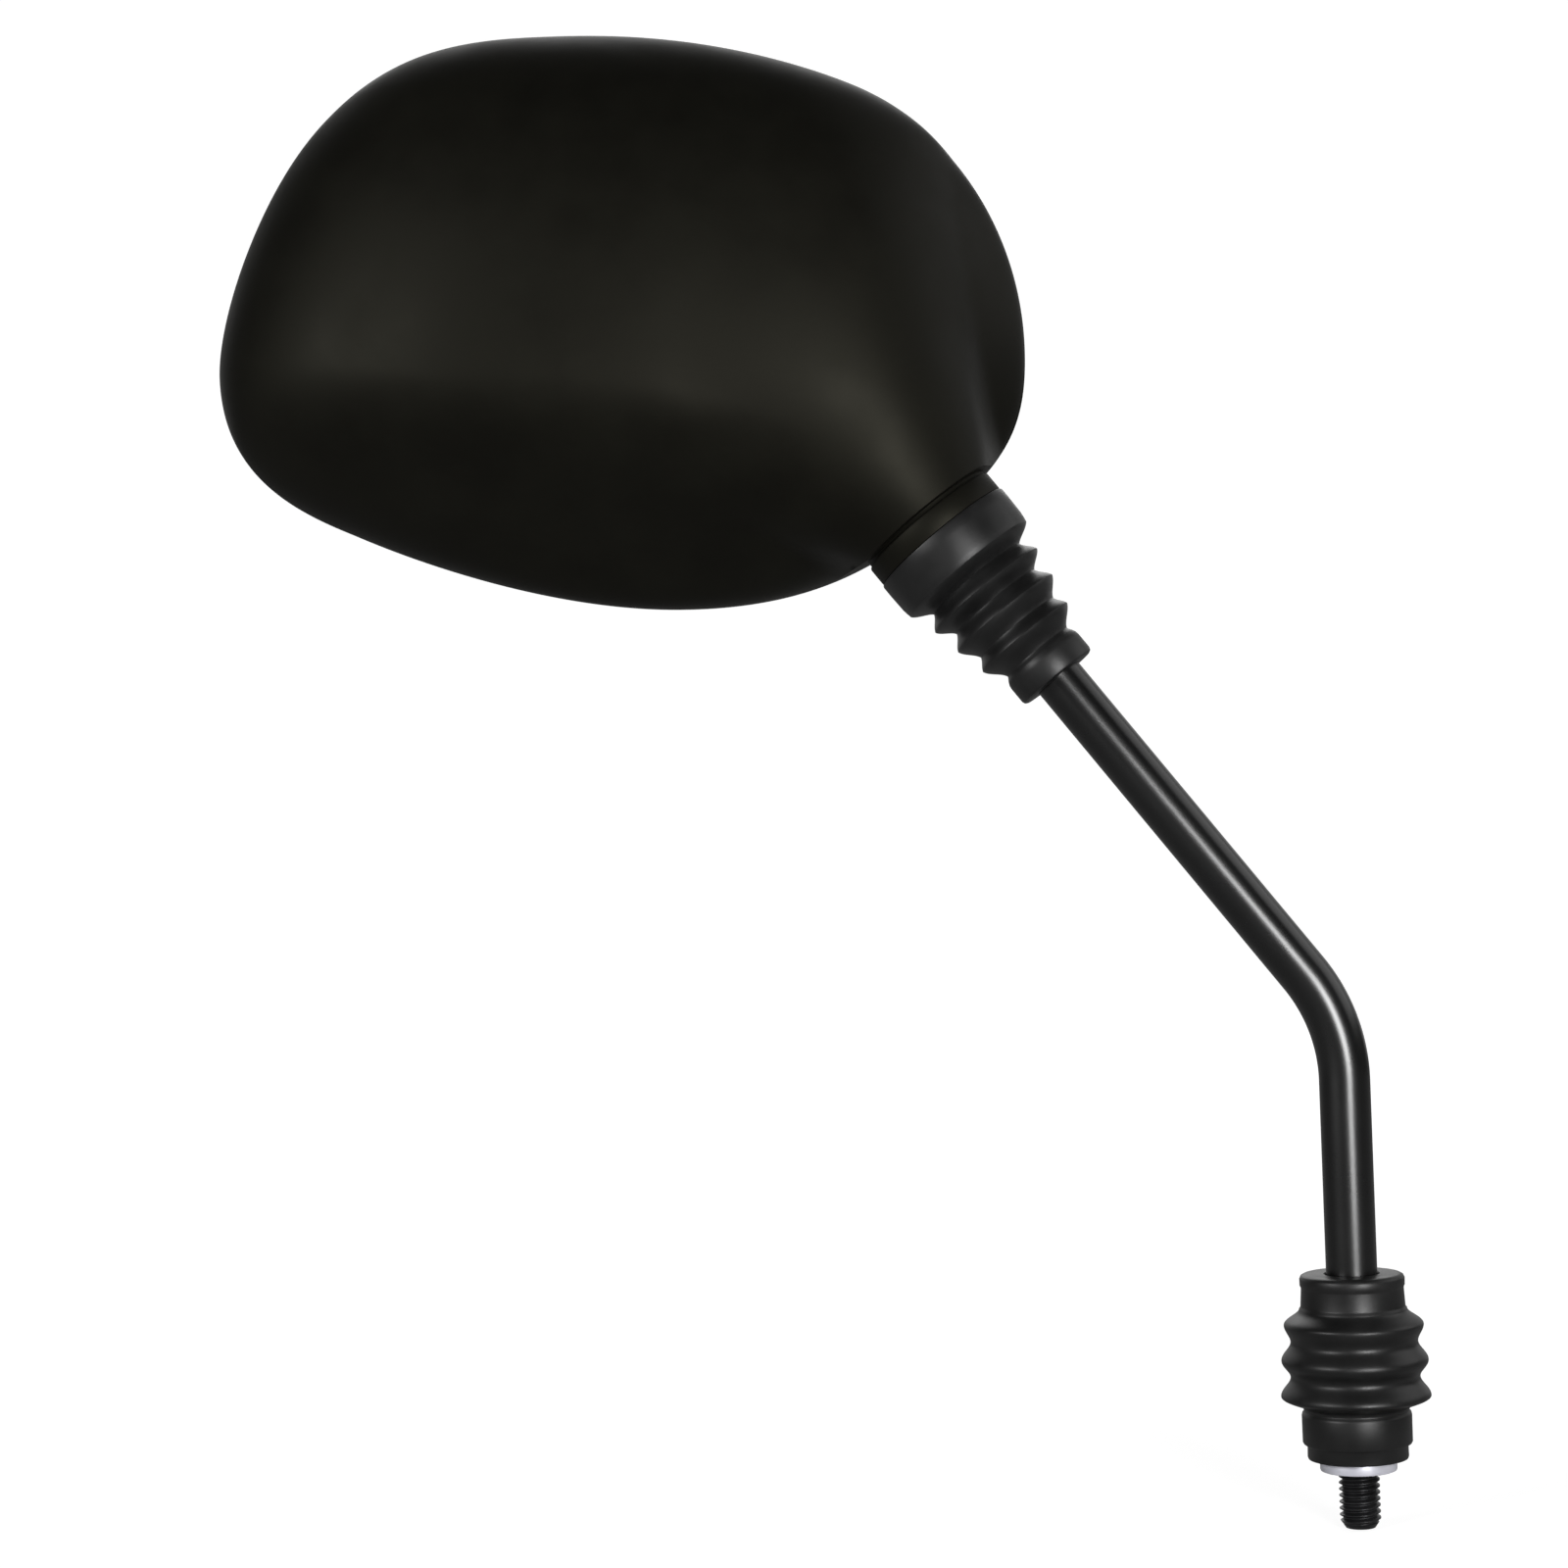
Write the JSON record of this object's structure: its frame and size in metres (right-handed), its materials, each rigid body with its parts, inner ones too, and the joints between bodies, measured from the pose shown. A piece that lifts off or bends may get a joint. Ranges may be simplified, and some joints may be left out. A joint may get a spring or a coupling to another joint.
{
  "type": "motorcycle mirror",
  "caption": "Oval rear-view mirror with a moulded matte black housing on a ball joint, rubber bellows boots, a bent steel stem and a threaded stud adapter.",
  "frame": {"origin": "centre of the adapter's seat face, on the stud's axis", "axes": "+Z along the stud and the stem's lower run, up; +Y towards the rider, the way the glass faces; the head reaches out to -X"},
  "size_m": [0.2341, 0.0456, 0.3032],
  "materials": {
    "black_steel": "black zinc, satin",
    "black_paint": "black gloss paint on steel",
    "ball_steel": "ground",
    "boot_rubber": "moulded, satin",
    "cup_nylon": "natural nylon",
    "shell_plastic": "fine moulded grain, matte black",
    "zinc_steel": "zinc plated",
    "sheet_rubber": "cut rubber sheet",
    "mirror_glass": "convex silvered glass",
    "gasket_rubber": "moulded, satin"
  },
  "bodies": {
    "adapter_body": {"adapter": "black_steel"},
    "stem_body": {"stem": "black_paint", "ball": "ball_steel", "lock_nut": "black_steel"},
    "lower_boot_body": {"lower_boot": "boot_rubber"},
    "rear_cup_body": {"rear_cup": "cup_nylon"},
    "front_cup_body": {"front_cup": "cup_nylon"},
    "head_body": {"shell": "shell_plastic", "upper_boot": "boot_rubber", "clamp_plate": "zinc_steel", "clamp_screw_1": "zinc_steel", "clamp_screw_2": "zinc_steel", "clamp_screw_3": "zinc_steel", "flat_washer_1": "zinc_steel", "flat_washer_2": "zinc_steel", "flat_washer_3": "zinc_steel", "spring_washer_1": "zinc_steel", "spring_washer_2": "zinc_steel", "spring_washer_3": "zinc_steel", "backing_sheet": "sheet_rubber", "glass": "mirror_glass", "gasket": "gasket_rubber"}
  },
  "joints": [
    {"name": "stem_swivel", "type": "hinge", "parent": "adapter_body", "child": "stem_body", "pos_m": [0, 0, 0.018], "axis": [0, 0, 1], "range_deg": [-180, 180]},
    {"name": "boot_slide", "type": "slide", "parent": "stem_body", "child": "lower_boot_body", "axis": [0, 0, 1], "range_m": [0, 0.03]},
    {"name": "head_twist", "type": "hinge", "parent": "stem_body", "child": "rear_cup_body", "pos_m": [-0.08078, 0.01135, 0.19471], "axis": [-0.6028, 0.0847, 0.7934], "range_deg": [-30, 30]},
    {"name": "head_swing", "type": "hinge", "parent": "rear_cup_body", "child": "front_cup_body", "pos_m": [-0.08078, 0.01135, 0.19471], "axis": [0.1392, 0.9903, 0], "range_deg": [-10, 10]},
    {"name": "head_pan", "type": "hinge", "parent": "front_cup_body", "child": "head_body", "pos_m": [-0.08078, 0.01135, 0.19471], "axis": [0.7856, -0.1104, 0.6088], "range_deg": [-12, 12], "deforming": ["upper_boot"]}
  ]
}
